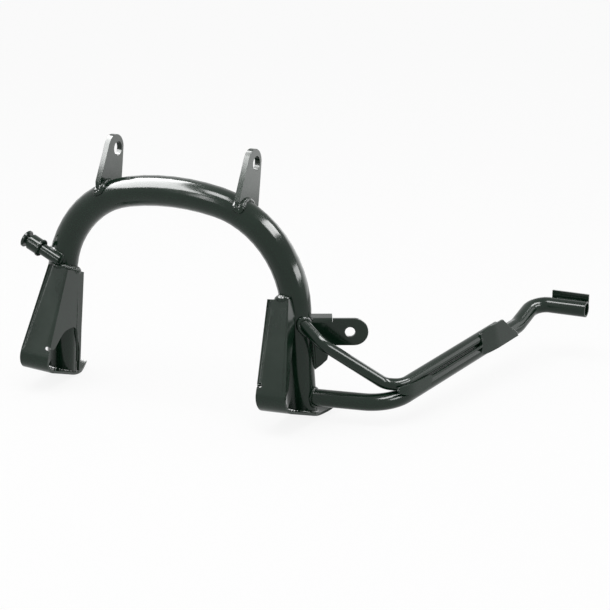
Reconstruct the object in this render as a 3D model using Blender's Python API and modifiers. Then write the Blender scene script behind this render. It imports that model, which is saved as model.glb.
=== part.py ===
"""Motorcycle centre stand: a welded frame of bent tube, pressed sheet legs and plates.

Metres, +Z up. The origin is the middle of the pivot axis, which runs along X through
the holes of the two lugs. The foot lever is on the +X side and reaches back along +Y.
"""

import math

import bmesh
import bpy
from mathutils import Matrix, Vector

# Where a note says "beside the tube", X is counted outwards from the arch tube's axis

# Gap left between two pieces that are welded to each other
WELD_GAP = 0.0003

# Arch tube
TUBE_RADIUS = 0.016
TUBE_WALL = 0.0025
TUBE_Y = -0.0225
CROWN_TOP = -0.034
CROWN_RADIUS = 0.279
CROWN_HALF_ANGLE = math.radians(11.1)
SHOULDER_RADIUS = 0.109
LEG_SPLAY = math.radians(4.2)

# Pivot lugs
LUG_SPACING = 0.1656
LUG_THICKNESS = 0.006
LUG_HOLE_DIAMETER = 0.015
LUG_HEAD_RADIUS = 0.0146
LUG_HEAD_CENTRE = (-0.0035, 0.001)
LUG_FRONT_FOOT = (-0.0365, -0.029)
LUG_REAR_SHOULDER = (0.0085, -0.016)
LUG_REAR_FOOT = (0.003, -0.047)
LUG_EDGE_ROUND = 0.0008

# Pressed sheet legs, in a frame beside the tube at the top of the sheet
SHEET = 0.0026
SHEET_CLEARANCE = 0.0004
SHEET_TOP = (0.00017, -0.1270)
SHEET_SPLAY = LEG_SPLAY + math.radians(0.6)
TOE_OUT = math.radians(3.5)
FOLD_RADIUS = 0.005
WEB_SLOPE = math.radians(24.4)
WEB_TOP_WIDTH = 0.025
WEB_TAPER = math.radians(6.3)
WEB_END = -0.083
LIP_TOP = 0.014
LIP_END = 0.0055
SOLE_CORNER = -0.1028
SOLE_SLOPE = math.radians(20.8)
SOLE_BEND_RADIUS = 0.016
ROCKER_START = -0.0055
ROCKER_RADIUS = 0.056
ROCKER_END = 22
TIP_FLARE = 0.25
TIP_FLARE_START = 0.013
FLANGE_REAR = ((0.0130, 0.055), (0.0115, -0.0568), (0.0110, -0.0749), (0.0112, -0.0990))
FLANGE_SLIT = 0.0008
TOP_SLOPE = math.radians(19.5)
TOP_TILT = math.radians(3.7)
CUTOUT = (
    (0.0080, -0.1000),
    (0.0060, -0.0930),
    (-0.0015, -0.0690),
    (-0.0270, -0.0680),
    (-0.0450, -0.0815),
    (-0.0480, -0.0825),
)
CUTOUT_RADII = (0.040, 0.013, 0.022, 0.004)
RELIEF_HOLE = (-0.0553, -0.0800)
RELIEF_DIAMETER = 0.0048

# Spring peg, turned, beside the tube on the -X leg
PEG_END = (-0.0062, -0.040, -0.1198)
PEG_HEAD = (0.0370, -0.040, -0.0999)
PEG_STEM_RADIUS = 0.0064
PEG_RING_RADIUS = 0.0098
PEG_COLLAR_RADIUS = 0.0088
PEG_NECK_RADIUS = 0.0052
PEG_HEAD_RADIUS = 0.0096
PEG_HEAD_THICKNESS = 0.0032
PEG_NECK_LENGTH = 0.0038
PEG_COLLAR_LENGTH = 0.0125
PEG_RING_LENGTH = 0.0032

# Foot lever tube, brace rod and the slotted plate that joins them, beside the tube
LEVER_RADIUS = 0.009
LEVER_WALL = 0.002
LEVER_CORNERS = (
    (0.0024, -0.0260, -0.2328),
    (0.0912, -0.0024, -0.2350),
    (0.1428, 0.2350, -0.2127),
    (0.1476, 0.2800, -0.1980),
    (0.2088, 0.2800, -0.1974),
)
LEVER_BENDS = (0.045, 0.040, 0.020)
ROD_RADIUS = 0.0063
ROD_ROOT = (0.0128, -0.0365, -0.1515)
ROD_KNEE = (0.0293, -0.0340, -0.1697)
ROD_LOW = (0.0818, 0.0060, -0.2170)
ROD_BENDS = (0.020, 0.025, 0.025)
ROD_LEAN = math.radians(10.5)
ROD_START = 0.020
ROD_LENGTH = 0.204
PLATE_THICKNESS = 0.004
PLATE_START = 0.034
PLATE_LENGTH = 0.196
PLATE_LOW = -0.0025
SLOT_START = 0.034
SLOT_LENGTH = 0.118
SLOT_WIDTH = 0.008

# Tread plate on the end of the lever, beside the tube
TREAD_START = 0.1646
TREAD_LENGTH = 0.043
TREAD_THICKNESS = 0.0035
TREAD_ABOVE = 0.0055
TREAD_BELOW = 0.0075

# Stop bracket, beside the tube on the +X leg
BRACKET_SHEET = 0.0035
BRACKET_START = (0.01524, -0.0140, 0.0)
BRACKET_ANGLE = math.radians(26.6)
BRACKET_HOLE = (0.0371, -0.1654)
BRACKET_HOLE_DIAMETER = 0.0105
BRACKET_END_RADIUS = 0.0142
BRACKET_END_SHIFT = 0.0045
BRACKET_ROOT_DEPTH = 0.006
GUSSET = ((0.0170, -0.1796), (0.0140, -0.1950), (0.0080, -0.2010), (0.0000, -0.2070))
WING_LENGTH = 0.019
WING_DEPTH = 0.016
WING_FOLD_RADIUS = 0.004
WING_RELIEF = 0.0003


def clear_scene():
    for item in list(bpy.data.objects):
        bpy.data.objects.remove(item, do_unlink=True)


def new_collection(name):
    found = bpy.data.collections.new(name)
    bpy.context.scene.collection.children.link(found)
    return found


def paint(name, color, roughness, metallic):
    material = bpy.data.materials.new(name)
    material.use_nodes = True
    shader = material.node_tree.nodes["Principled BSDF"]
    shader.inputs["Base Color"].default_value = (*color, 1)
    shader.inputs["Roughness"].default_value = roughness
    shader.inputs["Metallic"].default_value = metallic
    return material


def new_object(name, mesh, collection):
    made = bpy.data.objects.new(name, mesh)
    collection.objects.link(made)
    return made


def as_helper(item):
    item.hide_render = True
    item.display_type = "WIRE"
    return item


def mesh_from_curve(name, curve, collection):
    """The curve as a closed mesh object, with its caps welded on."""
    holder = bpy.data.objects.new(name + "_curve", curve)
    collection.objects.link(holder)
    bpy.context.view_layer.update()
    graph = bpy.context.evaluated_depsgraph_get()
    mesh = bpy.data.meshes.new_from_object(holder.evaluated_get(graph))
    mesh.name = name
    shape = bmesh.new()
    shape.from_mesh(mesh)
    bmesh.ops.remove_doubles(shape, verts=shape.verts, dist=1e-6)
    bmesh.ops.recalc_face_normals(shape, faces=shape.faces)
    shape.to_mesh(mesh)
    shape.free()
    made = new_object(name, mesh, collection)
    made.matrix_world = holder.matrix_world
    bpy.data.objects.remove(holder, do_unlink=True)
    return made


def bar(name, points, radius, collection, resolution=4):
    """A round bar that follows the points."""
    curve = bpy.data.curves.new(name, "CURVE")
    curve.dimensions = "3D"
    curve.bevel_depth = radius
    curve.bevel_resolution = resolution
    curve.use_fill_caps = True
    spline = curve.splines.new("POLY")
    spline.points.add(len(points) - 1)
    for target, point in zip(spline.points, points):
        target.co = (*point, 1)
    return mesh_from_curve(name, curve, collection)


def flat_plate(name, outline, thickness, placement, collection):
    """A flat outline given its thickness to both sides of its own XY plane, then placed."""
    curve = bpy.data.curves.new(name, "CURVE")
    curve.dimensions = "2D"
    curve.fill_mode = "BOTH"
    curve.extrude = thickness / 2
    spline = curve.splines.new("POLY")
    spline.points.add(len(outline) - 1)
    for target, (u, v) in zip(spline.points, outline):
        target.co = (u, v, 0, 1)
    spline.use_cyclic_u = True
    made = mesh_from_curve(name, curve, collection)
    made.data.transform(placement)
    if placement.determinant() < 0:
        made.data.flip_normals()
    return made


def drill(name, centre, direction, diameter, length, collection, segments=32):
    """A round cutter centred on a point, with its axis along the direction."""
    mesh = bpy.data.meshes.new(name)
    shape = bmesh.new()
    bmesh.ops.create_cone(
        shape,
        cap_ends=True,
        segments=segments,
        radius1=diameter / 2,
        radius2=diameter / 2,
        depth=length,
    )
    turn = Vector((0, 0, 1)).rotation_difference(Vector(direction)).to_matrix().to_4x4()
    shape.transform(Matrix.Translation(centre) @ turn)
    shape.to_mesh(mesh)
    shape.free()
    return as_helper(new_object(name, mesh, collection))


def combine(target, other, operation):
    """An exact Boolean on the target, left as a modifier."""
    modifier = target.modifiers.new(operation.title(), "BOOLEAN")
    modifier.operation = operation
    modifier.solver = "EXACT"
    modifier.object = other
    return modifier


def bake(target):
    """The target's modifiers applied to its mesh."""
    bpy.context.view_layer.update()
    graph = bpy.context.evaluated_depsgraph_get()
    mesh = bpy.data.meshes.new_from_object(target.evaluated_get(graph))
    target.modifiers.clear()
    target.data = mesh


def round_edges(target, width, segments=2):
    modifier = target.modifiers.new("Edges", "BEVEL")
    modifier.width = width
    modifier.segments = segments
    modifier.limit_method = "ANGLE"
    modifier.angle_limit = math.radians(50)


def smooth(target, angle=35):
    target.data.shade_smooth()
    target.data.set_sharp_from_angle(angle=math.radians(angle))


def rounded(corners, radii, step=math.radians(9)):
    """A line through the corners, each inner corner turned into an arc of its radius."""
    corners = [Vector(corner) for corner in corners]
    points = [corners[0]]
    for before, corner, after, radius in zip(corners, corners[1:], corners[2:], radii):
        first = (before - corner).normalized()
        second = (after - corner).normalized()
        half = first.angle(second) / 2
        turn = math.pi - 2 * half
        centre = corner + (first + second).normalized() * radius / math.sin(half)
        start = corner + first * radius / math.tan(half) - centre
        side = (start.length * -first).copy()
        count = max(2, math.ceil(turn / step))
        for index in range(count + 1):
            angle = turn * index / count
            points.append(centre + start * math.cos(angle) + side * math.sin(angle))
    points.append(corners[-1])
    return points


def arc(centre, radius, start, end, count):
    """Points of a flat arc, from one angle to another, in degrees."""
    return [
        (
            centre[0] + radius * math.cos(math.radians(start + (end - start) * index / count)),
            centre[1] + radius * math.sin(math.radians(start + (end - start) * index / count)),
        )
        for index in range(count + 1)
    ]


def plane_yz(x):
    """Places an outline drawn in (Y, Z) at this X."""
    return Matrix(((0, 0, 1, x), (1, 0, 0, 0), (0, 1, 0, 0), (0, 0, 0, 1)))


# The arch

SHOULDER_CENTRE = (
    (CROWN_RADIUS - SHOULDER_RADIUS) * math.sin(CROWN_HALF_ANGLE),
    CROWN_TOP - CROWN_RADIUS + (CROWN_RADIUS - SHOULDER_RADIUS) * math.cos(CROWN_HALF_ANGLE),
)
LEG_START = (
    SHOULDER_CENTRE[0] + SHOULDER_RADIUS * math.cos(LEG_SPLAY),
    SHOULDER_CENTRE[1] - SHOULDER_RADIUS * math.sin(LEG_SPLAY),
)


def leg_x(z):
    """X of the arch tube's axis at a height, on the shoulder or on the straight leg."""
    if z < LEG_START[1]:
        return LEG_START[0] + (LEG_START[1] - z) * math.tan(LEG_SPLAY)
    rise = z - SHOULDER_CENTRE[1]
    return SHOULDER_CENTRE[0] + math.sqrt(SHOULDER_RADIUS**2 - rise**2)


def beside_tube(point, height):
    """A point whose X is counted outwards from the tube's axis at this height."""
    return Vector((leg_x(height) + point[0], point[1], point[2]))


def arch_line(bottom):
    """The arch tube's axis from one foot to the other, ending at this height."""
    half = [(0.0, CROWN_TOP)]
    for index in range(1, 4):
        angle = CROWN_HALF_ANGLE * index / 3
        half.append(
            (
                CROWN_RADIUS * math.sin(angle),
                CROWN_TOP - CROWN_RADIUS * (1 - math.cos(angle)),
            )
        )
    end = math.pi / 2 + LEG_SPLAY
    count = 13
    for index in range(1, count + 1):
        angle = CROWN_HALF_ANGLE + (end - CROWN_HALF_ANGLE) * index / count
        half.append(
            (
                SHOULDER_CENTRE[0] + SHOULDER_RADIUS * math.sin(angle),
                SHOULDER_CENTRE[1] + SHOULDER_RADIUS * math.cos(angle),
            )
        )
    half.append((leg_x(bottom), bottom))
    left = [(-x, TUBE_Y, z) for x, z in reversed(half)]
    right = [(x, TUBE_Y, z) for x, z in half[1:]]
    return left + right


def leg_frame(side):
    """Places leg shapes: local X outwards, Y back, Z up along the leg, at the sheet's top."""
    place = (
        Matrix.Translation((leg_x(SHEET_TOP[1]) + SHEET_TOP[0], TUBE_Y, SHEET_TOP[1]))
        @ Matrix.Rotation(-SHEET_SPLAY, 4, "Y")
        @ Matrix.Rotation(-TOE_OUT, 4, "Z")
    )
    return Matrix.Scale(side, 4, (1, 0, 0)) @ place


FLANGE_FACE = -(TUBE_RADIUS + SHEET_CLEARANCE)
FLANGE_OUTSIDE = FLANGE_FACE - SHEET
WEB_BACK = SHEET / math.cos(WEB_SLOPE)
WEB_TOP = -(TUBE_RADIUS + SHEET_CLEARANCE) - WEB_BACK


def web_y(z):
    """Local Y of the web's front face at a local height."""
    return WEB_TOP + z * math.tan(WEB_SLOPE)


def web_edge_x(z):
    """Local X of the leg's outer edge, which leans outwards as it goes down."""
    return FLANGE_OUTSIDE + WEB_TOP_WIDTH - z * math.tan(WEB_TAPER)


def loft(name, rows, folds, fold_radius, collection):
    """A solid through loops of equally many points, with the first edge of some folded round."""
    mesh = bpy.data.meshes.new(name)
    shape = bmesh.new()
    rings = []
    for row in rows:
        ring = []
        for index, point in enumerate(row):
            above = rings[-1][index] if rings else None
            if above and (above.co - Vector(point)).length < 1e-6:
                ring.append(above)
            else:
                ring.append(shape.verts.new(point))
        rings.append(ring)
    for upper, lower in zip(rings, rings[1:]):
        for index in range(len(upper)):
            following = (index + 1) % len(upper)
            corners = (upper[index], upper[following], lower[following], lower[index])
            corners = tuple(dict.fromkeys(corners))
            if len(corners) > 2:
                shape.faces.new(corners)
    shape.faces.new(rings[0])
    shape.faces.new(rings[-1][::-1])
    edges = [shape.edges.get((rings[row][0], rings[row][1])) for row in folds]
    bmesh.ops.bevel(
        shape,
        geom=edges,
        offset=fold_radius,
        offset_type="OFFSET",
        segments=5,
        profile=0.5,
        affect="EDGES",
    )
    bmesh.ops.recalc_face_normals(shape, faces=shape.faces)
    shape.to_mesh(mesh)
    shape.free()
    return new_object(name, mesh, collection)


def cross(first, second):
    return first.x * second.y - first.y * second.x


def sole_line(offset, tip_angle=ROCKER_END):
    """Web, bend, flat sole and its rocker seen from the side, moved inwards by an offset."""
    down = Vector((-math.sin(WEB_SLOPE), -math.cos(WEB_SLOPE)))
    back = Vector((math.cos(SOLE_SLOPE), -math.sin(SOLE_SLOPE)))
    inwards = Vector((-back.y, back.x))
    inset = Vector((offset / math.cos(WEB_SLOPE), 0))
    start = Vector((web_y(0.03), 0.03)) + inset
    end = Vector((web_y(WEB_END), WEB_END)) + inset
    outer_corner = Vector((web_y(SOLE_CORNER), SOLE_CORNER))
    heel = outer_corner + back * ((ROCKER_START - outer_corner.x) / back.x)
    on_sole = outer_corner + inwards * offset
    corner = start + down * (cross(on_sole - start, back) / cross(down, back))
    bend = rounded((end, corner, heel + inwards * offset), (SOLE_BEND_RADIUS - offset,))
    centre = heel + inwards * ROCKER_RADIUS
    first = -90 - math.degrees(SOLE_SLOPE)
    tip = arc(centre, ROCKER_RADIUS - offset, first, tip_angle - 90, 8)
    return [tuple(start)] + [tuple(point) for point in bend[:-1]] + tip


def at_outer_edge(loop, inset):
    """The loop laid on the plane of the leg's leaning outer edge, moved inwards."""
    return [(web_edge_x(z) - inset, y, z) for y, z in loop]


def leg_blank(name, collection):
    """A block with the leg's outer faces: front, underside, inner side and outer edge."""
    line = sole_line(0)
    ahead = Vector(line[-1]) - Vector(line[-2])
    inwards = Vector((-ahead.y, ahead.x)).normalized()
    inside = Vector(line[-1]) + inwards * (SHEET + 0.001)
    loop = line + [tuple(inside), (inside.x, 0.05), (line[0][0], 0.05)]
    inner = [(FLANGE_OUTSIDE, y, z) for y, z in loop]
    return loft(name, [inner, at_outer_edge(loop, 0)], (0, 1), FOLD_RADIUS, collection)


def over_the_top(line):
    """Closes a line well behind and above the leg."""
    return line + [(0.06, line[-1][1]), (0.06, 0.06), (line[0][0], 0.06)]


def leg_hollow(name, collection):
    """The space inside the folds, with the room over the shallow outer lip."""
    line = sole_line(SHEET, ROCKER_END + 12)
    growth = (LIP_TOP - LIP_END) / -WEB_END
    lip = [(web_y(z) + LIP_END + growth * (z - WEB_END), z) for _, z in line[:2]] + line[2:]
    inner = [(FLANGE_FACE, y, z) for y, z in over_the_top(line)]
    rows = [inner, at_outer_edge(over_the_top(line), SHEET)]
    rows.append(at_outer_edge(over_the_top(lip), SHEET))
    rows.append(at_outer_edge(over_the_top(lip), -0.02))
    return as_helper(loft(name, rows, (0, 1), FOLD_RADIUS - SHEET, collection))


def flat_sole_height(y):
    """Height of the flat part of the sole's underside in the leg's frame."""
    return SOLE_CORNER - (y - web_y(SOLE_CORNER)) * math.tan(SOLE_SLOPE)


def sole_top(y):
    """Height of the sole's upper face, on its flat part or on the rocker."""
    if y < ROCKER_START:
        return flat_sole_height(y) + SHEET / math.cos(SOLE_SLOPE)
    centre_y = ROCKER_START + ROCKER_RADIUS * math.sin(SOLE_SLOPE)
    centre_z = flat_sole_height(ROCKER_START) + ROCKER_RADIUS * math.cos(SOLE_SLOPE)
    return centre_z - math.sqrt((ROCKER_RADIUS - SHEET) ** 2 - (y - centre_y) ** 2)


def flare_tip(leg):
    """Turns the end of the sole outwards, behind the inner flange."""
    for vertex in leg.data.vertices:
        behind = vertex.co.y - TIP_FLARE_START
        if behind > 0:
            vertex.co.x += TIP_FLARE * behind


def flange_cutter(name, collection):
    """All that the inner flange is not: its cut-out, and the room under it and behind it."""
    floor = sole_line(SHEET + 0.00002, ROCKER_END + 12)[1:]
    foot = [(y, sole_top(y) + FLANGE_SLIT) for y in (FLANGE_REAR[-1][0], CUTOUT[0][0])]
    outline = [RELIEF_HOLE] + floor
    outline += [(0.06, floor[-1][1]), (0.06, FLANGE_REAR[0][1])]
    outline += list(FLANGE_REAR) + foot
    outline += [tuple(point) for point in rounded(CUTOUT, CUTOUT_RADII)]
    middle = (FLANGE_OUTSIDE + FLANGE_FACE) / 2
    return as_helper(
        flat_plate(name, outline, SHEET + 0.002, plane_yz(middle), collection)
    )


def block(name, size, place, collection):
    """A box cutter with its middle at the placement's origin."""
    mesh = bpy.data.meshes.new(name)
    shape = bmesh.new()
    bmesh.ops.create_cube(shape, size=1)
    shape.transform(place @ Matrix.Diagonal((*size, 1)))
    if place.determinant() < 0:
        bmesh.ops.reverse_faces(shape, faces=shape.faces)
    shape.to_mesh(mesh)
    shape.free()
    return as_helper(new_object(name, mesh, collection))


def leg_sheet(name, side, tube_cutter, parts, helpers):
    """One pressed leg, from a single sheet: web, inner flange, outer lip and rolled sole."""
    leg = leg_blank(name, parts)
    top = (
        Matrix.Translation((FLANGE_OUTSIDE, WEB_TOP, 0))
        @ Matrix.Rotation(-TOP_SLOPE, 4, "X")
        @ Matrix.Rotation(-TOP_TILT, 4, "Y")
        @ Matrix.Translation((0, 0.03, 0.05))
    )
    edge = web_edge_x(WEB_END)
    beside = Matrix.Translation((edge + 0.02, -0.02, WEB_END + 0.004 - 0.05))
    relief = (FLANGE_OUTSIDE + SHEET, *RELIEF_HOLE)
    cutters = [
        leg_hollow(name + "_hollow", helpers),
        flange_cutter(name + "_cutout", helpers),
        block(name + "_top", (0.12, 0.12, 0.1), top, helpers),
        block(name + "_edge", (0.04, 0.16, 0.1), beside, helpers),
        drill(name + "_relief", relief, (1, 1, 0), RELIEF_DIAMETER, 8 * SHEET, helpers, 16),
    ]
    for cutter in cutters:
        combine(leg, cutter, "DIFFERENCE")
    bake(leg)
    flare_tip(leg)
    leg.data.transform(leg_frame(side))
    if side < 0:
        leg.data.flip_normals()
    combine(leg, tube_cutter, "DIFFERENCE")
    smooth(leg)
    return leg


def end_on_soles(tube, gap):
    """Slides the end rings down the legs to this height over the soles."""
    for side in (-1, 1):
        place = leg_frame(side)
        back = place.inverted()
        run = back.to_3x3() @ Vector((side * math.tan(LEG_SPLAY), 0, -1))
        for vertex in tube.data.vertices:
            if vertex.co.z < LEG_START[1] - 0.02 and vertex.co.x * side > 0:
                point = back @ vertex.co
                for _ in range(5):
                    point -= run * (point.z - sole_top(point.y) - gap) / run.z
                vertex.co = place @ point


def arch_tube(parts, helpers):
    """The bent tube, open at both feet, which end just over the soles."""
    line = arch_line(SHEET_TOP[1] + sole_top(0))
    tube = bar("arch_tube", line, TUBE_RADIUS, parts, 5)
    bore = bar("arch_bore", line, TUBE_RADIUS - TUBE_WALL, helpers, 3)
    end_on_soles(tube, WELD_GAP)
    end_on_soles(bore, -0.002)
    combine(tube, as_helper(bore), "DIFFERENCE")
    smooth(tube)
    return tube


def lug_outline():
    """The lug in (Y, Z): a head round the hole, a slanting front and a hook behind the tube."""
    y, z = LUG_HEAD_CENTRE
    front = Vector(LUG_FRONT_FOOT) - Vector(LUG_HEAD_CENTRE)
    tangent = math.degrees(math.atan2(front.y, front.x) - math.acos(LUG_HEAD_RADIUS / front.length))
    outline = arc((y, z), LUG_HEAD_RADIUS, 0, tangent % 360, 14)
    outline += [LUG_FRONT_FOOT, (LUG_FRONT_FOOT[0], LUG_REAR_FOOT[1])]
    outline += [LUG_REAR_FOOT, LUG_REAR_SHOULDER]
    return outline


def pivot_lug(name, side, tube_cutter, parts, helpers):
    x = side * LUG_SPACING / 2
    lug = flat_plate(name, lug_outline(), LUG_THICKNESS, plane_yz(x), parts)
    hole = drill(
        name + "_hole",
        (x, 0, 0),
        (1, 0, 0),
        LUG_HOLE_DIAMETER,
        2 * LUG_THICKNESS,
        helpers,
    )
    combine(lug, hole, "DIFFERENCE")
    combine(lug, tube_cutter, "DIFFERENCE")
    round_edges(lug, LUG_EDGE_ROUND)
    smooth(lug)
    return lug


def spring_peg(tube_cutter, parts):
    """The turned peg: a profile spun round its axis, then laid from head to root."""
    head, root = (beside_tube(point, PEG_END[2]) for point in (PEG_HEAD, PEG_END))
    head.x, root.x = -head.x, -root.x
    length = (root - head).length
    chamfer = 0.0008
    spots = [0, PEG_HEAD_THICKNESS]
    spots.append(spots[-1] + PEG_NECK_LENGTH)
    spots.append(spots[-1] + PEG_COLLAR_LENGTH)
    spots.append(spots[-1] + PEG_RING_LENGTH)
    profile = [
        (0, spots[0]),
        (PEG_HEAD_RADIUS - chamfer, spots[0]),
        (PEG_HEAD_RADIUS, spots[0] + chamfer),
        (PEG_HEAD_RADIUS, spots[1] - chamfer),
        (PEG_HEAD_RADIUS - chamfer, spots[1]),
        (PEG_NECK_RADIUS, spots[1]),
        (PEG_NECK_RADIUS, spots[2]),
        (PEG_COLLAR_RADIUS - chamfer, spots[2]),
        (PEG_COLLAR_RADIUS, spots[2] + chamfer),
        (PEG_COLLAR_RADIUS, spots[3]),
        (PEG_RING_RADIUS - chamfer, spots[3]),
        (PEG_RING_RADIUS, spots[3] + chamfer),
        (PEG_RING_RADIUS, spots[4] - chamfer),
        (PEG_RING_RADIUS - chamfer, spots[4]),
        (PEG_STEM_RADIUS, spots[4]),
        (PEG_STEM_RADIUS, length),
        (0, length),
    ]
    mesh = bpy.data.meshes.new("spring_peg")
    shape = bmesh.new()
    verts = [shape.verts.new((radius, 0, -along)) for radius, along in profile]
    for first, second in zip(verts, verts[1:]):
        shape.edges.new((first, second))
    shape.to_mesh(mesh)
    shape.free()
    peg = new_object("spring_peg", mesh, parts)
    screw = peg.modifiers.new("Turned", "SCREW")
    screw.steps = 28
    screw.render_steps = 28
    screw.use_merge_vertices = True
    screw.merge_threshold = 1e-5
    bake(peg)
    axis = head - root
    turn = Vector((0, 0, 1)).rotation_difference(axis).to_matrix().to_4x4()
    peg.data.transform(Matrix.Translation(head) @ turn)
    combine(peg, tube_cutter, "DIFFERENCE")
    smooth(peg, 30)
    return peg


# The lever

LEVER_ROOT_HEIGHT = LEVER_CORNERS[0][2]
LEVER_LINE = [beside_tube(corner, LEVER_ROOT_HEIGHT) for corner in LEVER_CORNERS]
LEVER_RUN_START = LEVER_LINE[1]
LEVER_RUN = (LEVER_LINE[2] - LEVER_RUN_START).normalized()
RUN_SIDE = LEVER_RUN.cross(Vector((0, 0, 1))).normalized()
RUN_UP = RUN_SIDE.cross(LEVER_RUN).normalized()


def lever_tube(tube_cutter, parts, helpers):
    line = rounded(LEVER_LINE, LEVER_BENDS)
    lever = bar("lever_tube", line, LEVER_RADIUS, parts)
    first = (line[0] - line[1]).normalized() * 0.002
    last = (line[-1] - line[-2]).normalized() * 0.002
    longer = [line[0] + first] + line[1:-1] + [line[-1] + last]
    bore = bar("lever_bore", longer, LEVER_RADIUS - LEVER_WALL, helpers, 2)
    combine(lever, as_helper(bore), "DIFFERENCE")
    combine(lever, tube_cutter, "DIFFERENCE")
    smooth(lever)
    return lever


def rod_offset():
    """From the lever's axis to the rod's, where the rod lies on the lever."""
    apart = LEVER_RADIUS + ROD_RADIUS + WELD_GAP
    return apart * (math.sin(ROD_LEAN) * RUN_SIDE + math.cos(ROD_LEAN) * RUN_UP)


def brace_rod(tube_cutter, parts):
    start = LEVER_RUN_START + LEVER_RUN * ROD_START + rod_offset()
    end = start + LEVER_RUN * ROD_LENGTH
    bends = [beside_tube(point, LEVER_ROOT_HEIGHT) for point in (ROD_ROOT, ROD_KNEE, ROD_LOW)]
    line = rounded((*bends, start, end), ROD_BENDS)
    rod = bar("brace_rod", line, ROD_RADIUS, parts, 3)
    combine(rod, tube_cutter, "DIFFERENCE")
    smooth(rod)
    return rod


def run_frame(along, out):
    """Places an outline drawn along the lever and up from its axis, on the lever's outer side."""
    origin = LEVER_RUN_START + LEVER_RUN * along + RUN_SIDE * out
    rows = zip(LEVER_RUN, RUN_UP, RUN_SIDE, origin)
    return Matrix([*[list(row) for row in rows], [0, 0, 0, 1]])


def lever_web_plate(parts, helpers):
    """The slotted strip that lies against lever and rod on their outer side."""
    high = rod_offset().dot(RUN_UP) + ROD_RADIUS
    out = LEVER_RADIUS + WELD_GAP + PLATE_THICKNESS / 2
    corner = 0.003
    outline = [
        (corner, PLATE_LOW),
        (PLATE_LENGTH - corner, PLATE_LOW),
        (PLATE_LENGTH, PLATE_LOW + corner),
        (PLATE_LENGTH - 0.006, high),
        (corner, high),
        (0, high - corner),
        (0, PLATE_LOW + corner),
    ]
    plate = flat_plate(
        "lever_web_plate", outline, PLATE_THICKNESS, run_frame(PLATE_START, out), parts
    )
    middle = (PLATE_LOW + high) / 2
    radius = SLOT_WIDTH / 2
    slot = arc((SLOT_LENGTH - radius, middle), radius, -90, 90, 8)
    slot += arc((radius, middle), radius, 90, 270, 8)
    cutter = flat_plate(
        "slot_cutter",
        slot,
        3 * PLATE_THICKNESS,
        run_frame(PLATE_START + SLOT_START, out),
        helpers,
    )
    combine(plate, as_helper(cutter), "DIFFERENCE")
    round_edges(plate, 0.0006, 1)
    smooth(plate)
    return plate


def tread_plate(parts):
    """The upright strip welded behind the lever's outer end."""
    tip = LEVER_LINE[-1]
    y = tip.y + LEVER_RADIUS + WELD_GAP + TREAD_THICKNESS / 2
    start = leg_x(LEVER_ROOT_HEIGHT) + TREAD_START
    low = tip.z - TREAD_BELOW
    high = tip.z + LEVER_RADIUS + TREAD_ABOVE
    end = start + TREAD_LENGTH
    outline = [(start, low), (end, low), (end, high), (start, high)]
    place = Matrix(((1, 0, 0, 0), (0, 0, -1, y), (0, 1, 0, 0), (0, 0, 0, 1)))
    plate = flat_plate("tread_plate", outline, TREAD_THICKNESS, place, parts)
    round_edges(plate, 0.0008)
    smooth(plate)
    return plate


def stop_bracket(tube_cutter, parts, helpers):
    """The plate with the stop's hole, its gusset down the leg and its top wing."""
    out = Vector((math.cos(BRACKET_ANGLE), math.sin(BRACKET_ANGLE), 0))
    front = out.cross(Vector((0, 0, 1)))
    rows = zip(out, (0, 0, 1), front, beside_tube(BRACKET_START, BRACKET_HOLE[1]))
    place = Matrix([*[list(row) for row in rows], [0, 0, 0, 1]])
    radius = BRACKET_END_RADIUS
    half = BRACKET_SHEET / 2
    top = BRACKET_HOLE[1] + radius
    shoulder = top - WING_FOLD_RADIUS
    outline = arc((BRACKET_HOLE[0] + BRACKET_END_SHIFT, BRACKET_HOLE[1]), radius, -90, 90, 14)
    outline += [(WING_LENGTH + WING_RELIEF, top), (WING_LENGTH + WING_RELIEF, shoulder)]
    outline += [(-BRACKET_ROOT_DEPTH, shoulder), (-BRACKET_ROOT_DEPTH, GUSSET[-1][1])]
    outline += list(GUSSET[::-1])
    bracket = flat_plate("stop_bracket", outline, BRACKET_SHEET, place, parts)
    face = half - 0.00002
    fold = WING_FOLD_RADIUS
    section = [(-face, BRACKET_HOLE[1]), (face, BRACKET_HOLE[1])]
    section += arc((half + 0.001, top - BRACKET_SHEET - 0.001), 0.001, 180, 90, 3)
    section += [(WING_DEPTH, top - BRACKET_SHEET), (WING_DEPTH, top)]
    section += arc((fold - face, top - fold), fold, 90, 180, 5)
    length = WING_LENGTH + BRACKET_ROOT_DEPTH
    middle = WING_LENGTH - length / 2
    sideways = Matrix(((0, 0, 1, middle), (0, 1, 0, 0), (-1, 0, 0, 0), (0, 0, 0, 1)))
    wing = flat_plate("bracket_wing", section, length, place @ sideways, helpers)
    bore = drill(
        "bracket_hole",
        place @ Vector((*BRACKET_HOLE, 0)),
        front,
        BRACKET_HOLE_DIAMETER,
        4 * BRACKET_SHEET,
        helpers,
    )
    combine(bracket, as_helper(wing), "UNION")
    combine(bracket, bore, "DIFFERENCE")
    combine(bracket, tube_cutter, "DIFFERENCE")
    smooth(bracket)
    return bracket


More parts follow.
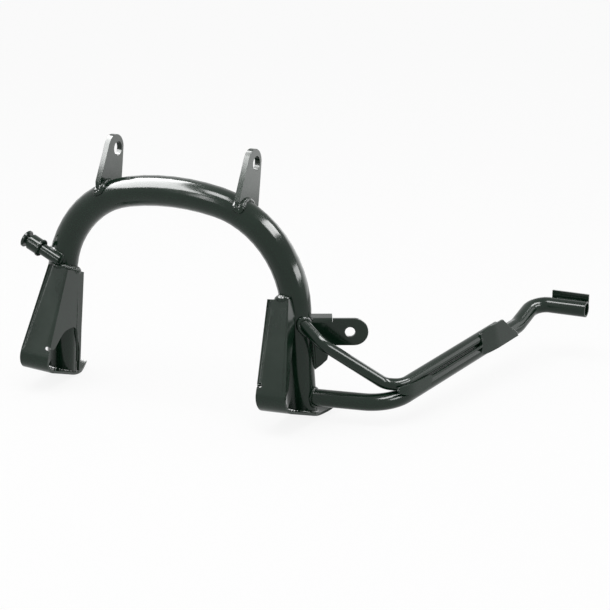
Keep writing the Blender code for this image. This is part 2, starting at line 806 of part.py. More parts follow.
def main():
    clear_scene()
    parts = new_collection("centre_stand")
    helpers = new_collection("cutters")
    black = ("gloss_black", (0.012, 0.015, 0.014), 0.22, 0.0)
    bottom = SHEET_TOP[1] + sole_top(0)
    cope = TUBE_RADIUS + WELD_GAP
    cutter = as_helper(bar("tube_cutter", arch_line(bottom - 0.05), cope, helpers, 5))
    leg_cutter = as_helper(bar("leg_tube_cutter", arch_line(bottom), cope, helpers, 5))
    end_on_soles(leg_cutter, WELD_GAP / 3)
    made = [arch_tube(parts, helpers)]
    for name, side in (("left", -1), ("right", 1)):
        made.append(pivot_lug(name + "_pivot_lug", side, cutter, parts, helpers))
        made.append(leg_sheet(name + "_leg_sheet", side, leg_cutter, parts, helpers))
    made.append(spring_peg(cutter, parts))
    made.append(stop_bracket(cutter, parts, helpers))
    made.append(lever_tube(cutter, parts, helpers))
    made.append(brace_rod(cutter, parts))
    made.append(lever_web_plate(parts, helpers))
    made.append(tread_plate(parts))
    for item in made:
        item.data.materials.clear()
        item.data.materials.append(paint(item.name + "_paint", *black[1:]))


main()
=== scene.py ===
import math
import bmesh
import bpy
from mathutils import Matrix, Vector, noise
from mathutils.bvhtree import BVHTree


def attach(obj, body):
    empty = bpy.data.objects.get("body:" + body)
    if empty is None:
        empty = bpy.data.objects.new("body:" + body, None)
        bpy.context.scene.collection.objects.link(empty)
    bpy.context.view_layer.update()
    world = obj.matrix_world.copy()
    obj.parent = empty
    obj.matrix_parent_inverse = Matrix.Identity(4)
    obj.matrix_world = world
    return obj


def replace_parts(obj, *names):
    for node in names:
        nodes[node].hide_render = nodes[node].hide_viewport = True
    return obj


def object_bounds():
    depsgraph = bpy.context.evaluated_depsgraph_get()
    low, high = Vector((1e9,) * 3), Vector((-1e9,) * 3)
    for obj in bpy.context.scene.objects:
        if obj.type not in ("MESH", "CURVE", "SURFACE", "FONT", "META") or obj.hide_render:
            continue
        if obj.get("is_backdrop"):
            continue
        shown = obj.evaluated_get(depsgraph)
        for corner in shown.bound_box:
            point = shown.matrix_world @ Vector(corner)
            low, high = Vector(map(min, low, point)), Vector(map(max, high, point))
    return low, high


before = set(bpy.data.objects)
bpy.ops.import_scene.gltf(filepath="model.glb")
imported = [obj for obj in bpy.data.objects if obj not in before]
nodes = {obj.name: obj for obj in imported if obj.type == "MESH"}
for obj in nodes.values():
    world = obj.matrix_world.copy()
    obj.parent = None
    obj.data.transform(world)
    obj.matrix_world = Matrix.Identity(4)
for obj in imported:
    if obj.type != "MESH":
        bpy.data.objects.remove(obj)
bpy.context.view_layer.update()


# gloss black paint, as it lies on tube, pressed sheet, cut plate, turned peg and weld

paintLooks = {
    "tubePaint": {
        "colour": (0.0030, 0.0128, 0.0066), "tint": (0.0055, 0.0183, 0.0099),
        "roughness": (0.12, 0.18), "peelSize": 420, "peel": 0.03,
        "grain": (1, 1, 1), "grainSize": 60, "grainDepth": 0.02,
    },
    "sheetPaint": {
        "colour": (0.0030, 0.0128, 0.0066), "tint": (0.0065, 0.0201, 0.0113),
        "roughness": (0.14, 0.21), "peelSize": 400, "peel": 0.04,
        "grain": (1, 1, 0.35), "grainSize": 34, "grainDepth": 0.06,
    },
    "platePaint": {
        "colour": (0.0035, 0.0134, 0.0070), "tint": (0.0065, 0.0201, 0.0113),
        "roughness": (0.14, 0.21), "peelSize": 420, "peel": 0.04,
        "grain": (1, 0.6, 1), "grainSize": 90, "grainDepth": 0.03,
    },
    "pegPaint": {
        "colour": (0.0030, 0.0128, 0.0066), "tint": (0.0055, 0.0177, 0.0099),
        "roughness": (0.10, 0.16), "peelSize": 500, "peel": 0.03,
        "grain": (3, 1, 3), "grainSize": 160, "grainDepth": 0.04,
    },
    "weldPaint": {
        "colour": (0.0035, 0.0134, 0.0070), "tint": (0.0070, 0.0201, 0.0113),
        "roughness": (0.08, 0.15), "peelSize": 520, "peel": 0.10,
        "grain": (1, 1, 1), "grainSize": 260, "grainDepth": 0.15,
    },
}
paintShine = {"index": 1.5, "level": 0.30}
paintDrift = {
    "size": 14.0, "detail": 4.0, "roughness": 0.55, "colourSpan": (0.35, 0.70), "glossSpan": (0.3, 0.7),
}
paintRelief = {"peelDetail": 2.0, "peelHeight": 0.0003, "grainDetail": 3.0, "grainHeight": 0.0012}


def newNode(tree, kind, place, settings=None, **sockets):
    made = tree.nodes.new(kind)
    made.location = place
    for name, value in (settings or {}).items():
        setattr(made, name, value)
    for name, value in sockets.items():
        made.inputs[name].default_value = value
    return made


def paintMaterial(name):
    look = paintLooks[name]
    material = bpy.data.materials.new(name)
    material.use_nodes = True
    tree = material.node_tree
    shader = tree.nodes["Principled BSDF"]
    shader.inputs["IOR"].default_value = paintShine["index"]
    shader.inputs["Specular IOR Level"].default_value = paintShine["level"]
    place = newNode(tree, "ShaderNodeTexCoord", (-1300, 0))

    # thin and thick places in the coat: colour and gloss drift a little together
    drift = newNode(
        tree, "ShaderNodeTexNoise", (-1000, 250),
        Scale=paintDrift["size"], Detail=paintDrift["detail"], Roughness=paintDrift["roughness"],
    )
    tree.links.new(place.outputs["Object"], drift.inputs["Vector"])
    shade = newNode(tree, "ShaderNodeValToRGB", (-700, 300))
    colours = (look["colour"], look["tint"])
    for stop, position, colour in zip(shade.color_ramp.elements, paintDrift["colourSpan"], colours):
        stop.position = position
        stop.color = (*colour, 1)
    tree.links.new(drift.outputs["Fac"], shade.inputs["Fac"])
    tree.links.new(shade.outputs["Color"], shader.inputs["Base Color"])
    gloss = newNode(tree, "ShaderNodeMapRange", (-700, 0))
    for end, fromValue, value in zip(("Min", "Max"), paintDrift["glossSpan"], look["roughness"]):
        gloss.inputs["From " + end].default_value = fromValue
        gloss.inputs["To " + end].default_value = value
    tree.links.new(drift.outputs["Fac"], gloss.inputs["Value"])
    tree.links.new(gloss.outputs["Result"], shader.inputs["Roughness"])

    # orange peel in the paint, over the draw or roll marks of the metal under it
    peel = newNode(
        tree, "ShaderNodeTexNoise", (-1000, -300),
        Scale=look["peelSize"], Detail=paintRelief["peelDetail"],
    )
    tree.links.new(place.outputs["Object"], peel.inputs["Vector"])
    stretch = newNode(tree, "ShaderNodeMapping", (-1150, -550), Scale=look["grain"])
    tree.links.new(place.outputs["Object"], stretch.inputs["Vector"])
    grain = newNode(
        tree, "ShaderNodeTexNoise", (-1000, -550),
        Scale=look["grainSize"], Detail=paintRelief["grainDetail"],
    )
    tree.links.new(stretch.outputs["Vector"], grain.inputs["Vector"])
    under = newNode(
        tree, "ShaderNodeBump", (-600, -500),
        Strength=look["grainDepth"], Distance=paintRelief["grainHeight"],
    )
    tree.links.new(grain.outputs["Fac"], under.inputs["Height"])
    over = newNode(
        tree, "ShaderNodeBump", (-350, -350), Strength=look["peel"], Distance=paintRelief["peelHeight"],
    )
    tree.links.new(peel.outputs["Fac"], over.inputs["Height"])
    tree.links.new(under.outputs["Normal"], over.inputs["Normal"])
    tree.links.new(over.outputs["Normal"], shader.inputs["Normal"])
    return material


paints = {name: paintMaterial(name) for name in paintLooks}
print("paints mixed:", ", ".join(sorted(paints)))


# the stand's own pieces: painted, shaded smooth, edges eased

standPieces = {
    "arch_tube": {"paint": "tubePaint", "smoothAngle": 30, "easedEdge": 0.0004},
    "left_pivot_lug": {"paint": "platePaint", "smoothAngle": 32, "easedEdge": 0.0, "flatFaces": True},
    "right_pivot_lug": {"paint": "platePaint", "smoothAngle": 32, "easedEdge": 0.0, "flatFaces": True},
    "left_leg_sheet": {"paint": "sheetPaint", "smoothAngle": 30, "easedEdge": 0.0005, "flatFaces": True},
    "right_leg_sheet": {"paint": "sheetPaint", "smoothAngle": 30, "easedEdge": 0.0005, "flatFaces": True},
    "spring_peg": {"paint": "pegPaint", "smoothAngle": 28, "easedEdge": 0.0},
    "stop_bracket": {"paint": "platePaint", "smoothAngle": 30, "easedEdge": 0.0004, "flatFaces": True},
    "tread_plate": {"paint": "platePaint", "smoothAngle": 30, "easedEdge": 0.0, "flatFaces": True},
}
edgeFinish = {"joinWithin": 0.00001, "segments": 2, "easedAbove": 50, "flatWeight": 80}


def finishPiece(part, finish):
    part.data.shade_smooth()
    join = part.modifiers.new("Joined", "WELD")
    join.merge_threshold = edgeFinish["joinWithin"]
    if finish["easedEdge"]:
        ease = part.modifiers.new("Eased", "BEVEL")
        ease.width = finish["easedEdge"]
        ease.segments = edgeFinish["segments"]
        ease.limit_method = "ANGLE"
        ease.angle_limit = math.radians(edgeFinish["easedAbove"])
    crease = part.modifiers.new("Creases", "EDGE_SPLIT")
    crease.split_angle = math.radians(finish["smoothAngle"])
    crease.use_edge_sharp = False
    if finish.get("flatFaces"):  # wide faces shade flat, folds stay round
        level = part.modifiers.new("FlatFaces", "WEIGHTED_NORMAL")
        level.mode = "FACE_AREA"
        level.weight = edgeFinish["flatWeight"]


for nodeName, finish in standPieces.items():
    part = nodes[nodeName]
    if "custom_normal" in part.data.attributes:  # the modifiers make new normals
        part.data.attributes.remove(part.data.attributes["custom_normal"])
    for holder in part.material_slots:
        holder.material = paints[finish["paint"]]
    finishPiece(part, finish)
print("painted", len(standPieces), "pieces of the stand")


# weld beads: a rough guide line is settled into the corner between two pieces
beadShape = {
    "guideStep": 0.0015, "settleRounds": 12, "guideCalm": 4, "step": 0.0005, "lineCalm": 3, "around": 12,
    "ripple": 0.10, "ripplePitch": 0.0024, "rippleCurve": 0.6, "wobble": 0.20, "wobblePitch": 190,
    "grit": 0.0001, "gritPitch": 700, "endReach": 1.3, "endSize": 0.02,
}
surfaces = {}


def surfaceOf(nodeName):
    if nodeName not in surfaces:
        mesh = nodes[nodeName].data
        points = [vertex.co.copy() for vertex in mesh.vertices]
        faces = [tuple(face.vertices) for face in mesh.polygons]
        surfaces[nodeName] = BVHTree.FromPolygons(points, faces)
    return surfaces[nodeName]


def settled(point, joins):
    first, second = surfaceOf(joins[0]), surfaceOf(joins[1])
    # between the nearest points of both, again and again, ends in the corner
    for _ in range(beadShape["settleRounds"]):
        point = (first.find_nearest(point)[0] + second.find_nearest(point)[0]) / 2
    return point


def evenly(points, step, closed):
    points = list(points) + ([points[0]] if closed else [])
    spread, left = [points[0]], step
    for start, end in zip(points, points[1:]):
        run = (end - start).length
        while run >= left:
            start = start + (end - start).normalized() * left
            spread.append(start)
            run -= left
            left = step
        left -= run
    return spread


def eased(points, closed, rounds):
    for _ in range(rounds):
        last = len(points) - 1
        calm = []
        for index, point in enumerate(points):
            before = points[index - 1] if index or closed else point
            after = points[(index + 1) % len(points)] if index < last or closed else point
            calm.append((before + 2 * point + after) / 4)
        points = calm
    return points


def acrossAt(ahead, side):
    # the two directions of a ring, turned as little as can be from the ring before it
    side = ahead.cross((side or ahead.orthogonal()).cross(ahead)).normalized()
    return side, ahead.cross(side)


def joinRings(shape, rings, closed=False):
    for ring, following in zip(rings, rings[1:] + ([rings[0]] if closed else [])):
        for turn in range(len(ring)):
            onward = (turn + 1) % len(ring)
            shape.faces.new((ring[turn], ring[onward], following[onward], following[turn]))


def addPiece(name, shape, paint, finish=None):
    bmesh.ops.recalc_face_normals(shape, faces=shape.faces)
    mesh = bpy.data.meshes.new(name)
    shape.to_mesh(mesh)
    shape.free()
    mesh.materials.append(paints[paint])
    piece = bpy.data.objects.new(name, mesh)
    bpy.context.scene.collection.objects.link(piece)
    if finish:
        finishPiece(piece, finish)
    else:
        mesh.shade_smooth()
    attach(piece, "root")
    return piece


def beadSize(weld, point, index, count):
    along = index * beadShape["step"]
    ripple = abs(math.sin(math.pi * along / beadShape["ripplePitch"])) ** beadShape["rippleCurve"]
    size = weld["size"] * (1 - beadShape["ripple"] + beadShape["ripple"] * ripple)
    size *= 1 + beadShape["wobble"] * noise.noise(point * beadShape["wobblePitch"])
    for share, more, reach in weld.get("lumps", ()):
        size *= 1 + more * math.exp(-((along - share * count * beadShape["step"]) / reach) ** 2)
    if not weld.get("closed"):  # the ends taper off
        toEnd = min(index, count - 1 - index) * beadShape["step"] / (beadShape["endReach"] * weld["size"])
        size *= math.sqrt(max(beadShape["endSize"], 1 - (1 - min(1, toEnd)) ** 2))
    return size


def weldBead(name, weld):
    closed = weld.get("closed", False)
    lift = Vector(weld.get("lift", (0, 0, 0)))
    rough = evenly([Vector(point) for point in weld["along"]], beadShape["guideStep"], closed)
    if weld["joins"]:
        rough = [settled(point, weld["joins"]) + lift for point in rough]
    line = evenly(eased(rough, closed, beadShape["guideCalm"]), beadShape["step"], closed)
    line = eased(line, closed, beadShape["lineCalm"])
    count, around = len(line), beadShape["around"]
    shape = bmesh.new()
    rings = []
    side = None
    for index, point in enumerate(line):
        before = line[index - 1] if index or closed else point
        after = line[(index + 1) % count] if index < count - 1 or closed else point
        side, across = acrossAt((after - before).normalized(), side)
        size = beadSize(weld, point, index, count)
        ring = []
        for turn in range(around):
            angle = 2 * math.pi * turn / around
            spot = point + (side * math.cos(angle) + across * math.sin(angle)) * size
            grit = Vector((1, 1, 1)) * beadShape["grit"] * noise.noise(spot * beadShape["gritPitch"])
            ring.append(shape.verts.new(spot + grit))
        rings.append(ring)
    joinRings(shape, rings, closed)
    if not closed:
        shape.faces.new(rings[0][::-1])
        shape.faces.new(rings[-1])
    addPiece(name, shape, "weldPaint")


# guide lines for the beads
archSizes = {
    "tubeRadius": 0.016, "tubeY": -0.0225, "shoulderX": 0.03273, "shoulderZ": -0.14618,
    "shoulderRadius": 0.109,
}
lugEdges = {  # X of both faces and of the front end, and angles round the tube in degrees
    "inner": 0.0792, "outer": 0.0864, "nose": (0.0806, 0.0828, 0.0850), "noseAngle": -68,
    "down": range(74, -62, -8), "up": range(-60, 78, 8),
}
legPlace = {
    "top": (0.1402, -0.0225, -0.1270), "splay": math.radians(4.8), "toeOut": math.radians(3.5),
    "webFront": -0.01925, "flangeOutside": -0.0190, "topSlope": 0.354, "topTilt": 0.0647,
}
legWelds = {  # turns in degrees round the leg's tube, and the flange's run in mm down from the leg's top
    "topRadius": 0.0168, "topTurn": range(140, 300, 8),
    "flangeAt": (-0.0163, 0.001), "flangeRun": range(-22, -124, -6),
    "footRadius": 0.0172, "footTurn": range(190, 420, 10), "footZ": -0.1235, "footSlope": 0.30,
}
leverRun = {
    "start": Vector((0.2384, -0.0024, -0.2350)), "end": Vector((0.2900, 0.2350, -0.2127)),
}


def roundGuide(centre, axis, radius, count=24):
    turn = Vector((0, 0, 1)).rotation_difference(Vector(axis)).to_matrix()
    angles = [math.radians(360 * index / count) for index in range(count)]
    spokes = [Vector((math.cos(angle), math.sin(angle), 0)) for angle in angles]
    return [Vector(centre) + turn @ spoke * radius for spoke in spokes]


def archPoint(x, angle):
    # on the tube's shoulder at this X, the angle counted from its top towards the back
    reach = archSizes["tubeRadius"] * math.cos(angle)
    radius = archSizes["shoulderRadius"] + reach
    lean = math.asin((abs(x) - archSizes["shoulderX"]) / radius)
    y = archSizes["tubeY"] + archSizes["tubeRadius"] * math.sin(angle)
    return Vector((x, y, archSizes["shoulderZ"] + radius * math.cos(lean)))


def lugGuide(side):
    inner, outer = side * lugEdges["inner"], side * lugEdges["outer"]
    down = [archPoint(inner, math.radians(angle)) for angle in lugEdges["down"]]
    nose = [archPoint(side * x, math.radians(lugEdges["noseAngle"])) for x in lugEdges["nose"]]
    up = [archPoint(outer, math.radians(angle)) for angle in lugEdges["up"]]
    return down + nose + up


def legPoint(side, x, y, z):
    place = Matrix.Translation(legPlace["top"])
    place = place @ Matrix.Rotation(-legPlace["splay"], 4, "Y")
    place = place @ Matrix.Rotation(-legPlace["toeOut"], 4, "Z")
    return Matrix.Scale(side, 4, (1, 0, 0)) @ place @ Vector((x, y, z))


def legRing(radius, degrees):
    angles = [math.radians(angle) for angle in degrees]
    return [(radius * math.cos(angle), radius * math.sin(angle)) for angle in angles]


def legTopGuide(side):
    points = []
    for x, y in legRing(legWelds["topRadius"], legWelds["topTurn"]):
        z = (legPlace["webFront"] - y) * legPlace["topSlope"]
        z += (x - legPlace["flangeOutside"]) * legPlace["topTilt"]
        points.append(legPoint(side, x, y, z))
    return points


def flangeGuide(side):
    x, y = legWelds["flangeAt"]
    return [legPoint(side, x, y, z / 1000) for z in legWelds["flangeRun"]]


def footGuide(side):
    ring = legRing(legWelds["footRadius"], legWelds["footTurn"])
    return [legPoint(side, x, y, legWelds["footZ"] - y * legWelds["footSlope"]) for x, y in ring]


def runPoint(along, out, up):
    ahead = (leverRun["end"] - leverRun["start"]).normalized()
    outer = ahead.cross(Vector((0, 0, 1))).normalized()
    return leverRun["start"] + ahead * along + outer * out + outer.cross(ahead) * up


def runStitch(first, last, out, up):
    return [runPoint(first + (last - first) * share / 4, out, up) for share in range(5)]


# brace rod and lever tube, swept along their bends, and the flat gusset over both
barShape = {
    "paint": "tubePaint", "smoothAngle": 35, "easedEdge": 0.0003,
    "step": 0.002, "bendStep": 0.05, "around": 32,
}
braceRod = {
    **barShape, "radius": 0.0063, "bends": (0.020, 0.020, 0.018),
    "corners": [
        Vector((0.1455, -0.0290, -0.1475)), Vector((0.1765, -0.0340, -0.1697)),
        Vector((0.2290, 0.0060, -0.2170)), runPoint(0.018, 0.0028, 0.0153), runPoint(0.198, 0.0028, 0.0153),
    ],
}
rodRoot = {  # the weld ring's distance from the rod's line and from the leg's, and the way to the leg
    "fromRod": 0.0066, "fromLeg": 0.0163, "legDown": 0.12, "turnStep": 15, "step": 0.0003, "steps": 120,
}
leverTube = {
    **barShape, "radius": 0.0090, "bore": 0.0070, "bends": (0.045, 0.040, 0.020),
    "corners": [
        Vector((0.1609, -0.0230, -0.2331)), leverRun["start"], leverRun["end"],
        Vector((0.2948, 0.2800, -0.1980)), Vector((0.3560, 0.2800, -0.1974)),
    ],
}
leverGusset = {
    "paint": "platePaint", "smoothAngle": 40, "easedEdge": 0.0005, "flatFaces": True,
    "out": (0.0093, 0.0118), "bendStart": 0.0277, "bendRadius": 0.045,
    "slantStart": 0.176, "endSlant": -1.05, "rampStart": 0.156, "rampEnd": 0.184, "rampDepth": 0.0034,
    "columnStep": 0.004,
    "edges": [  # distance along the lever, lower edge, upper edge
        (0.008, 0.0105, 0.0165), (0.012, 0.0080, 0.0172), (0.020, 0.0045, 0.0168), (0.030, 0.0020, 0.0155),
        (0.045, 0.0005, 0.0145), (0.053, 0.0008, 0.0140), (0.057, 0.0025, 0.0132), (0.060, 0.0080, 0.0119),
        (0.064, 0.0086, 0.0113), (0.156, 0.0086, 0.0113), (0.157, -0.0020, 0.0225),
        (0.165, -0.0035, 0.0250), (0.172, -0.0040, 0.0262), (0.213, -0.0040, 0.0262),
    ],
}


def bentLine(bar):
    # straight runs between the corners, with a round bend at each
    corners = bar["corners"]
    line = [corners[0]]
    for before, corner, after, bend in zip(corners, corners[1:], corners[2:], bar["bends"]):
        into = (corner - before).normalized()
        away = (after - corner).normalized()
        angle = into.angle(away)
        centre = corner + (away - into).normalized() * bend / math.cos(angle / 2)
        spoke = corner - into * bend * math.tan(angle / 2) - centre
        turn = into.cross(away).normalized()
        count = max(2, math.ceil(angle / bar["bendStep"]))
        turns = [Matrix.Rotation(angle * index / count, 3, turn) for index in range(count + 1)]
        line += [centre + turned @ spoke for turned in turns]
    line = evenly([*line, corners[-1]], bar["step"], False)
    if (corners[-1] - line[-1]).length > bar["step"] / 10:
        line.append(corners[-1])
    return line


def barWall(shape, line, radius, around):
    rings = []
    side = None
    for index, point in enumerate(line):
        ahead = (line[min(index + 1, len(line) - 1)] - line[max(index - 1, 0)]).normalized()
        side, across = acrossAt(ahead, side)
        angles = [2 * math.pi * turn / around for turn in range(around)]
        spokes = [side * math.cos(angle) + across * math.sin(angle) for angle in angles]
        rings.append([shape.verts.new(point + spoke * radius) for spoke in spokes])
    joinRings(shape, rings)
    return rings


def bentBar(name, bar, node):
    shape = bmesh.new()
    line = bentLine(bar)
    outer = barWall(shape, line, bar["radius"], bar["around"])
    if "bore" in bar:
        inner = barWall(shape, line, bar["bore"], bar["around"])
        joinRings(shape, [outer[0], inner[0]])
        joinRings(shape, [outer[-1], inner[-1]])
    else:
        shape.faces.new(outer[0])
        shape.faces.new(outer[-1])
    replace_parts(addPiece(name, shape, bar["paint"], bar), node)


def gussetColumns():
    edges = leverGusset["edges"]
    columns = []
    for (first, low, high), (last, nextLow, nextHigh) in zip(edges, edges[1:]):
        count = max(1, round((last - first) / leverGusset["columnStep"]))
        for step in range(count):
            share = step / count
            lower = low + (nextLow - low) * share
            upper = high + (nextHigh - high) * share
            columns.append((first + (last - first) * share, lower, upper))
    return [*columns, edges[-1]]


def gusset():
    shape = bmesh.new()
    rings = []
    end = leverGusset["edges"][-1][0]
    for along, low, high in gussetColumns():
        into = max(0, leverGusset["bendStart"] - along)
        inward = leverGusset["bendRadius"] - math.sqrt(leverGusset["bendRadius"] ** 2 - into ** 2)
        if along > leverGusset["rampStart"]:  # the outer area rises out of the rod and the tube
            ramp = leverGusset["rampEnd"] - leverGusset["rampStart"]
            inward = max(0, leverGusset["rampEnd"] - along) / ramp * leverGusset["rampDepth"]
        near, far = (out - inward for out in leverGusset["out"])
        middle = (low + high) / 2
        slant = max(0, along - leverGusset["slantStart"]) / (end - leverGusset["slantStart"])
        slant *= leverGusset["endSlant"]  # the far end is cut at an angle
        ring = []
        for out, up in ((near, low), (near, high), (far, high), (far, low)):
            ring.append(shape.verts.new(runPoint(along + slant * (up - middle), out, up)))
        rings.append(ring)
    joinRings(shape, rings)
    shape.faces.new(rings[0][::-1])
    shape.faces.new(rings[-1])
    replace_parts(addPiece("leverGusset", shape, leverGusset["paint"], leverGusset), "lever_web_plate")


def rodRootGuide():
    root, knee = braceRod["corners"][:2]
    ahead = (root - knee).normalized()
    top = legPoint(1, 0, 0, 0)
    leg = (legPoint(1, 0, 0, -rodRoot["legDown"]) - top).normalized()
    spoke = ahead.orthogonal().normalized()
    points = []
    for angle in range(0, 360, rodRoot["turnStep"]):
        spot = knee + Matrix.Rotation(math.radians(angle), 3, ahead) @ spoke * rodRoot["fromRod"]
        for _ in range(rodRoot["steps"]):  # along the rod until the leg's tube is met
            fromTop = spot - top
            if (fromTop - leg * fromTop.dot(leg)).length > rodRoot["fromLeg"]:
                spot += ahead * rodRoot["step"]
        points.append(spot)
    return points


bentBar("braceRod", braceRod, "brace_rod")
bentBar("leverTube", leverTube, "lever_tube")
gusset()
print("brace rod, lever tube and lever gusset made")

# a bead with nothing under joins follows its guide line as it stands
welds = {
    "leftLugWeld": {
        "joins": ("left_pivot_lug", "arch_tube"), "along": lugGuide(-1), "size": 0.0030,
        "lumps": [(0.40, 0.5, 0.004), (0.56, 0.4, 0.003)],
    },
    "rightLugWeld": {
        "joins": ("right_pivot_lug", "arch_tube"), "along": lugGuide(1), "size": 0.0030,
        "lumps": [(0.44, 0.3, 0.003), (0.60, 0.5, 0.004)],
    },
    "leftLegTopWeld": {
        "joins": ("left_leg_sheet", "arch_tube"), "along": legTopGuide(-1), "size": 0.0042,
        "lumps": [(0.25, 0.3, 0.005), (0.62, 0.25, 0.005)],
    },
    "rightLegTopWeld": {
        "joins": ("right_leg_sheet", "arch_tube"), "along": legTopGuide(1), "size": 0.0042,
        "lumps": [(0.20, 0.3, 0.004), (0.45, 0.25, 0.003), (0.70, 0.3, 0.004)],
    },
    "leftFlangeWeld": {"joins": ("left_leg_sheet", "arch_tube"), "along": flangeGuide(-1), "size": 0.0023},
    "rightFlangeWeld": {"joins": ("right_leg_sheet", "arch_tube"), "along": flangeGuide(1), "size": 0.0023},
    "leftFootWeld": {"joins": ("left_leg_sheet", "arch_tube"), "along": footGuide(-1), "size": 0.0023},
    "rightFootWeld": {"joins": ("right_leg_sheet", "arch_tube"), "along": footGuide(1), "size": 0.0023},
    "leverRootWeld": {
        "joins": ("lever_tube", "arch_tube"), "size": 0.0026, "closed": True,
        "along": roundGuide((0.1640, -0.0223, -0.2331), (0.966, 0.258, -0.024), 0.0095),
    },
    "pegWeld": {
        "joins": ("spring_peg", "arch_tube"), "size": 0.0022,
        "along": [
            (-0.1540, -0.0375, -0.1020), (-0.1460, -0.0385, -0.1050), (-0.1380, -0.0390, -0.1090),
            (-0.1310, -0.0390, -0.1130), (-0.1290, -0.0390, -0.1190), (-0.1330, -0.0390, -0.1260),
            (-0.1400, -0.0385, -0.1230), (-0.1480, -0.0380, -0.1190), (-0.1560, -0.0370, -0.1150),
        ],
    },
    "rodRootWeld": {"joins": (), "along": rodRootGuide(), "size": 0.0026, "closed": True},
    "bracketFrontWeld": {
        "joins": ("stop_bracket", "arch_tube"), "size": 0.0020,
        "along": [(0.1590, -0.0160, z / 1000) for z in range(-206, -158, 6)],
    },
    "bracketRearWeld": {
        "joins": ("stop_bracket", "arch_tube"), "size": 0.0020,
        "along": [(0.1560, -0.0115, z / 1000) for z in range(-206, -150, 6)],
    },
    "wingWeld": {
        "joins": ("stop_bracket", "arch_tube"), "size": 0.0024,
        "along": [
            (0.1575, -0.0130, -0.1500), (0.1580, -0.0190, -0.1500),
            (0.1570, -0.0250, -0.1500), (0.1540, -0.0310, -0.1500),
        ],
    },
    "rodOnLeverWeld": {
        "joins": ("brace_rod", "lever_tube"), "size": 0.0026,
        "along": runStitch(0.060, 0.158, 0.003, 0.010), "lift": runPoint(0, 0.0012, 0) - runPoint(0, 0, 0),
    },
    "gussetLowWeld": {
        "joins": (), "size": 0.0020,
        "along": [
            runPoint(0.0075, 0.0060, 0.0105), runPoint(0.0080, 0.0055, 0.0135),
            runPoint(0.0085, 0.0050, 0.0165),
        ],
    },
    "gussetEndWeld": {
        "joins": (), "size": 0.0024,
        "along": [
            runPoint(0.2300, 0.0088, -0.0040), runPoint(0.2230, 0.0090, 0.0025),
            runPoint(0.2160, 0.0080, 0.0085),
        ],
    },
    "rodEndWeld": {
        "joins": (), "size": 0.0030,
        "along": [
            runPoint(0.1985, 0.0040, 0.0105), runPoint(0.1985, 0.0, 0.0098),
            runPoint(0.1985, -0.0040, 0.0090),
        ],
    },
    "rightSlitWeld": {
        "joins": (), "size": 0.0021,
        "along": [legPoint(1, -0.0177, y / 10000, -0.0800) for y in (-470, -520, -560, -585)],
    },
    "treadUpperWeld": {
        "joins": ("tread_plate", "lever_tube"), "size": 0.0012, "lift": (0, -0.0002, 0.0030),
        "along": [(0.3170, 0.2880, -0.1925), (0.3500, 0.2880, -0.1925)],
    },
    "treadLowerWeld": {
        "joins": ("tread_plate", "lever_tube"), "size": 0.0018, "lift": (0, -0.0006, -0.0040),
        "along": [(0.3170, 0.2880, -0.2010), (0.3500, 0.2880, -0.2010)],
    },
}
for weldName, weld in welds.items():
    weldBead(weldName, weld)
print("laid", len(welds), "weld beads")


# plain pale floor, white background and soft lamps
# plainWhite is the share of the floor that shows white, and the rest keeps the shadow
room = {
    "floorColour": (0.86, 0.86, 0.86), "floorRoughness": 0.9, "floorSize": 12.0, "floorGap": 0.0006,
    "plainWhite": 0.88, "white": 1.0, "dimLight": 0.70,
}
# the overhead box lights the paint and the floor, and the others are seen only as reflections
lamps = {
    "overheadSoftbox": {
        "at": (0.0, -0.30, 1.30), "facing": (0.05, 0.0, -0.14), "size": (1.5, 1.0), "watts": 11,
        "reflected": False,
    },
    "leftLongBox": {
        "at": (-0.90, -0.30, 1.00), "facing": (0.0, -0.30, -0.05), "size": (2.0, 0.82), "watts": 132,
    },
    "rightLongBox": {
        "at": (0.95, 0.20, 1.15), "facing": (0.0, 0.20, -0.05), "size": (1.5, 0.38), "watts": 42,
    },
    "standingStrip": {
        "at": (-0.56, -1.37, 0.62), "facing": (0.0, 0.0, -0.05), "size": (0.08, 0.60), "watts": 2.5,
    },
    "rodStrip": {
        "at": (0.74, 0.056, 0.07), "facing": (0.21, 0.0, -0.20), "size": (0.5, 0.12), "watts": 3,
    },
    "pegBox": {
        "at": (-0.15, -0.35, 1.06), "facing": (-0.16, -0.04, -0.10), "size": (0.30, 0.40), "watts": 8,
    },
    "rearPanel": {
        "at": (0.40, 0.75, -0.02), "facing": (0.0, 0.0, -0.05), "size": (1.1, 0.44), "watts": 3,
    },
}


def clearRays(tree):
    ray = newNode(tree, "ShaderNodeLightPath", (-800, 200))
    seen = newNode(tree, "ShaderNodeMath", (-500, 250), {"operation": "MAXIMUM"})
    clear = newNode(tree, "ShaderNodeMath", (-300, 250), {"operation": "MAXIMUM"})
    tree.links.new(ray.outputs["Is Camera Ray"], seen.inputs[0])
    tree.links.new(ray.outputs["Is Glossy Ray"], seen.inputs[1])
    tree.links.new(seen.outputs["Value"], clear.inputs[0])
    tree.links.new(ray.outputs["Is Transmission Ray"], clear.inputs[1])
    return clear.outputs["Value"]


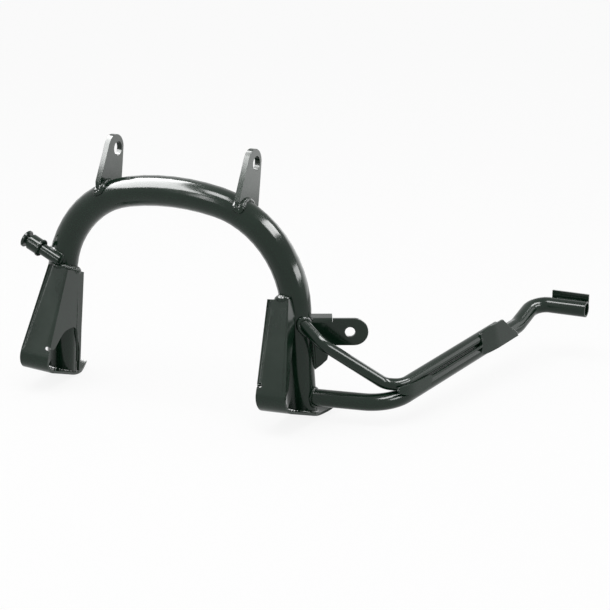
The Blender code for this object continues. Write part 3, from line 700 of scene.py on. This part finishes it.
def floorMaterial():
    material = bpy.data.materials.new("paleFloor")
    material.use_nodes = True
    tree = material.node_tree
    shader = tree.nodes["Principled BSDF"]
    shader.inputs["Base Color"].default_value = (*room["floorColour"], 1)
    shader.inputs["Roughness"].default_value = room["floorRoughness"]
    shader.inputs["Specular IOR Level"].default_value = 0.0
    white = newNode(tree, "ShaderNodeEmission", (0, -300), Strength=room["white"])
    share = newNode(tree, "ShaderNodeMath", (-200, 300), {"operation": "MULTIPLY"})
    share.inputs[1].default_value = room["plainWhite"]
    mix = newNode(tree, "ShaderNodeMixShader", (250, 100))
    tree.links.new(clearRays(tree), share.inputs[0])
    tree.links.new(share.outputs["Value"], mix.inputs["Fac"])
    tree.links.new(shader.outputs["BSDF"], mix.inputs[1])
    tree.links.new(white.outputs["Emission"], mix.inputs[2])
    tree.links.new(mix.outputs["Shader"], tree.nodes["Material Output"].inputs["Surface"])
    return material


def paleFloor():
    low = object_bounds()[0].z - room["floorGap"]
    half = room["floorSize"] / 2
    mesh = bpy.data.meshes.new("paleFloor")
    corners = [(-half, -half, low), (half, -half, low), (half, half, low), (-half, half, low)]
    mesh.from_pydata(corners, [], [(0, 1, 2, 3)])
    mesh.materials.append(floorMaterial())
    floor = bpy.data.objects.new("paleFloor", mesh)
    bpy.context.scene.collection.objects.link(floor)
    floor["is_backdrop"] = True


def whiteWorld():
    world = bpy.data.worlds.new("whiteRoom")
    world.use_nodes = True
    tree = world.node_tree
    light = tree.nodes["Background"]
    light.inputs["Color"].default_value = (1, 1, 1, 1)
    light.inputs["Strength"].default_value = room["dimLight"]
    white = newNode(tree, "ShaderNodeBackground", (0, -200), Color=(1, 1, 1, 1), Strength=room["white"])
    mix = newNode(tree, "ShaderNodeMixShader", (250, 0))
    tree.links.new(clearRays(tree), mix.inputs["Fac"])
    tree.links.new(light.outputs["Background"], mix.inputs[1])
    tree.links.new(white.outputs["Background"], mix.inputs[2])
    tree.links.new(mix.outputs["Shader"], tree.nodes["World Output"].inputs["Surface"])
    bpy.context.scene.world = world


def softbox(name, lamp):
    light = bpy.data.lights.new(name, "AREA")
    light.shape = "RECTANGLE"
    light.size, light.size_y = lamp["size"]
    light.energy = lamp["watts"]
    holder = bpy.data.objects.new(name, light)
    holder.location = lamp["at"]
    holder.visible_camera = False
    holder.visible_glossy = lamp.get("reflected", True)
    holder.visible_diffuse = not holder.visible_glossy
    aim = Vector(lamp["facing"]) - Vector(lamp["at"])
    holder.rotation_euler = aim.to_track_quat("-Z", "Y").to_euler()
    bpy.context.scene.collection.objects.link(holder)


paleFloor()
whiteWorld()
for lampName, lamp in lamps.items():
    softbox(lampName, lamp)
print("floor, background and", len(lamps), "soft lamps set")


# the camera stands where the photograph was taken from
cameraPlace = {
    "at": (0.8783, -1.4960, 0.3797), "elevation": 17.406, "azimuth": 26.246, "lens": 100.33, "film": 36,
}
view = bpy.data.cameras.new("photoView")
view.lens = cameraPlace["lens"]
view.sensor_width = cameraPlace["film"]
camera = bpy.data.objects.new("photoView", view)
camera.location = cameraPlace["at"]
tilt = math.radians(90 - cameraPlace["elevation"])
camera.rotation_euler = (tilt, 0, math.radians(cameraPlace["azimuth"]))
bpy.context.scene.collection.objects.link(camera)
bpy.context.scene.camera = camera
bpy.context.scene.view_settings.view_transform = "Standard"
